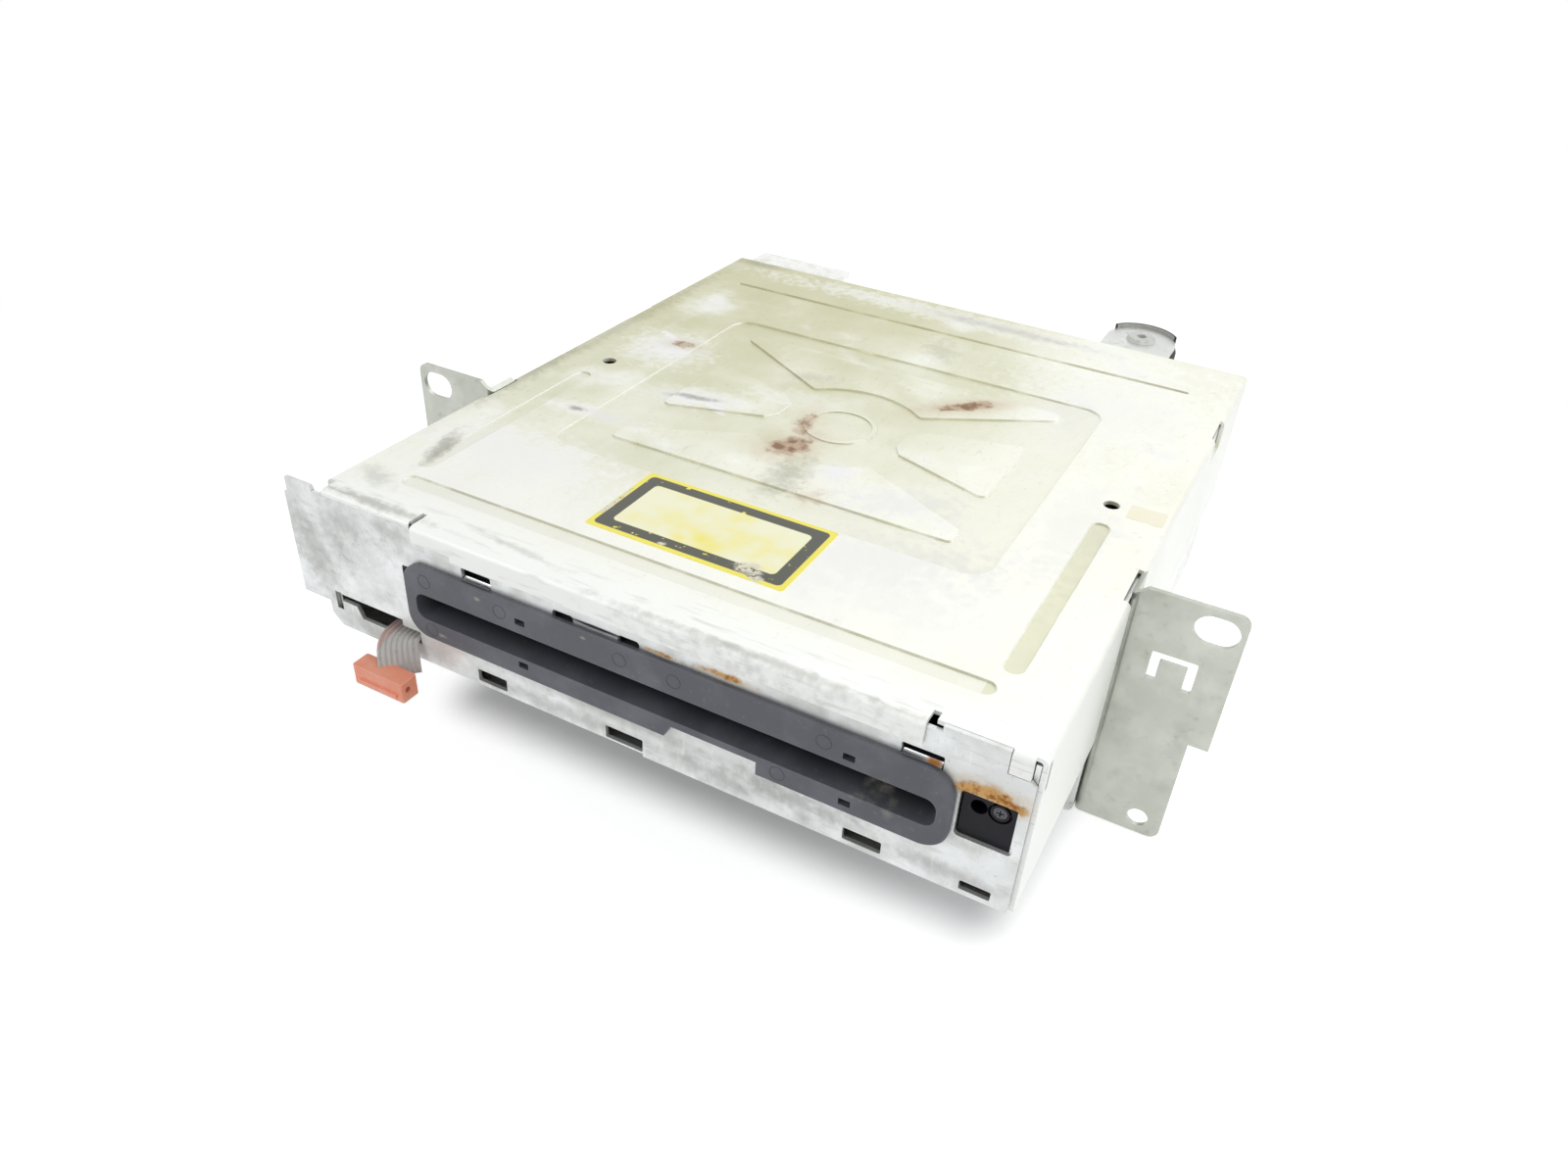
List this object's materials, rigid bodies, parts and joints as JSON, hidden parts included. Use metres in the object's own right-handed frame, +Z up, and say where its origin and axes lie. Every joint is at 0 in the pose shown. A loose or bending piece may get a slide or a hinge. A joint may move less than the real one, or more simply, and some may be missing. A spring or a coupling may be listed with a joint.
{
  "type": "car cd radio",
  "caption": "Slot-loading car disc deck without its trim: pressed steel case, slot bezel, mounting ears, ribbon lead, and the loader, clamp, spindle and pickup inside",
  "frame": {"origin": "mid-width of the body on its base plane, in the front-face plane of the mounting ears", "axes": "+X to the deck's right seen from the front, +Y to the rear, +Z up; the disc slot faces -Y"},
  "size_m": [0.226, 0.2345, 0.0675],
  "materials": {
    "zinc_sheet": "zinc-plated sheet steel, dulled and stained",
    "cover_sheet": "cream-yellow passivated zinc sheet, worn",
    "ear_sheet": "grey-green passivated zinc sheet",
    "bezel_plastic": "dark grey moulded plastic",
    "black_plastic": "black moulded plastic",
    "white_plastic": "natural acetal",
    "red_plastic": "red-orange moulded plastic",
    "label": "yellow vinyl with a dark border, no text",
    "sticker": "cream paper, blank",
    "ribbon": "grey ribbed PVC lead",
    "steel": "bright steel",
    "cast_alloy": "extruded aluminium, whitened",
    "board": "green solder mask",
    "rubber": "black rubber",
    "felt": "black felt",
    "brass": "plain brass",
    "lens": "tinted lens in a grey holder"
  },
  "bodies": {
    "deck": {"top_cover": "cover_sheet", "chassis_frame": "zinc_sheet", "front_plate": "zinc_sheet", "slot_bezel": "bezel_plastic", "ear_left": "ear_sheet", "ear_right": "ear_sheet", "ear_screws": "steel", "cover_screws": "steel", "label_sticker": "label", "small_sticker": "sticker", "rear_panel": "zinc_sheet", "rear_bush": "rubber", "heat_sink": "cast_alloy", "main_board": "board", "board_screws": "steel", "processor_chip": "black_plastic", "amplifier_chip": "black_plastic", "capacitors": "black_plastic", "tuner_box": "zinc_sheet", "main_connector": "black_plastic", "antenna_socket": "zinc_sheet", "ribbon_header": "white_plastic", "ribbon_cable": "ribbon", "ribbon_connector": "red_plastic", "side_holder": "black_plastic", "holder_screw": "steel", "loader_frame": "zinc_sheet", "disc_guide": "black_plastic", "felt_pads": "felt", "arm_pivot": "steel", "clamp_pivot": "steel", "gear_pins": "steel", "loading_motor": "steel", "spindle_motor": "steel", "guide_rods": "steel", "sled_motor": "steel", "slider_rivets": "steel", "loader_shelves": "zinc_sheet", "dampers": "rubber", "damper_pins": "steel"},
    "feed_roller": {"roller_shaft": "steel", "roller_sleeves": "rubber", "roller_gear": "white_plastic"},
    "roller_arm": {"roller_arm": "zinc_sheet"},
    "idler_gear": {"idler_gear": "white_plastic"},
    "worm_wheel": {"worm_wheel": "white_plastic"},
    "worm": {"worm": "brass"},
    "clamp_arm": {"clamp_arm": "zinc_sheet", "clamp_spring": "brass"},
    "clamper": {"clamper": "black_plastic"},
    "turntable": {"turntable": "black_plastic"},
    "pickup_sled": {"pickup_sled": "black_plastic"},
    "pickup_lens": {"pickup_lens": "lens"},
    "lead_screw": {"lead_screw": "steel"},
    "mode_slider": {"mode_slider": "zinc_sheet"}
  },
  "joints": [
    {"name": "mode_slide", "type": "slide", "parent": "deck", "child": "mode_slider", "axis": [0, 1, 0], "range_m": [0, 0.01]},
    {"name": "roller_arm_tilt", "type": "hinge", "parent": "deck", "child": "roller_arm", "pos_m": [0, -0.024, 0.036], "axis": [1, 0, 0], "range_deg": [0, 8]},
    {"name": "feed_roller_spin", "type": "hinge", "parent": "roller_arm", "child": "feed_roller", "pos_m": [0, -0.04, 0.0398], "axis": [1, 0, 0], "continuous": true},
    {"name": "idler_spin", "type": "hinge", "parent": "deck", "child": "idler_gear", "pos_m": [0.074, -0.0371, 0.05196], "axis": [1, 0, 0], "continuous": true},
    {"name": "worm_wheel_spin", "type": "hinge", "parent": "deck", "child": "worm_wheel", "pos_m": [0.076, -0.0295, 0.04815], "axis": [1, 0, 0], "continuous": true},
    {"name": "worm_spin", "type": "hinge", "parent": "deck", "child": "worm", "pos_m": [0.0785, -0.0295, 0.03865], "axis": [0, 1, 0], "continuous": true},
    {"name": "clamp_arm_lift", "type": "hinge", "parent": "deck", "child": "clamp_arm", "pos_m": [0.006, 0.103, 0.052], "axis": [1, 0, 0], "range_deg": [0, 4.2]},
    {"name": "clamper_spin", "type": "hinge", "parent": "clamp_arm", "child": "clamper", "pos_m": [0.006, 0.03668, 0.05687], "axis": [0, 0.0732, 0.9973], "continuous": true},
    {"name": "turntable_spin", "type": "hinge", "parent": "deck", "child": "turntable", "pos_m": [0.006, 0.0365, 0.041], "axis": [0, 0, 1], "continuous": true},
    {"name": "lead_screw_turn", "type": "hinge", "parent": "deck", "child": "lead_screw", "pos_m": [-0.03, 0.064, 0.029], "axis": [1, 0, 0], "range_deg": [0, 3960]},
    {"name": "sled_slide", "type": "slide", "parent": "deck", "child": "pickup_sled", "axis": [-1, 0, 0], "range_m": [0, 0.033]},
    {"name": "lens_focus", "type": "slide", "parent": "pickup_sled", "child": "pickup_lens", "axis": [0, 0, 1], "range_m": [-0.0004, 0.0004], "stiffness_N_per_m": 20}
  ],
  "couplings": [
    {"joint": "roller_arm_tilt", "follows": "mode_slide", "rad_per_m": 13.963},
    {"joint": "clamp_arm_lift", "follows": "mode_slide", "rad_per_m": 7.3304},
    {"joint": "idler_spin", "follows": "feed_roller_spin", "ratio": -1.5},
    {"joint": "worm_wheel_spin", "follows": "feed_roller_spin", "ratio": 2.1429},
    {"joint": "worm_spin", "follows": "feed_roller_spin", "ratio": 17.143},
    {"joint": "clamper_spin", "follows": "turntable_spin", "ratio": 1},
    {"joint": "lead_screw_turn", "follows": "sled_slide", "rad_per_m": 2094.4}
  ]
}
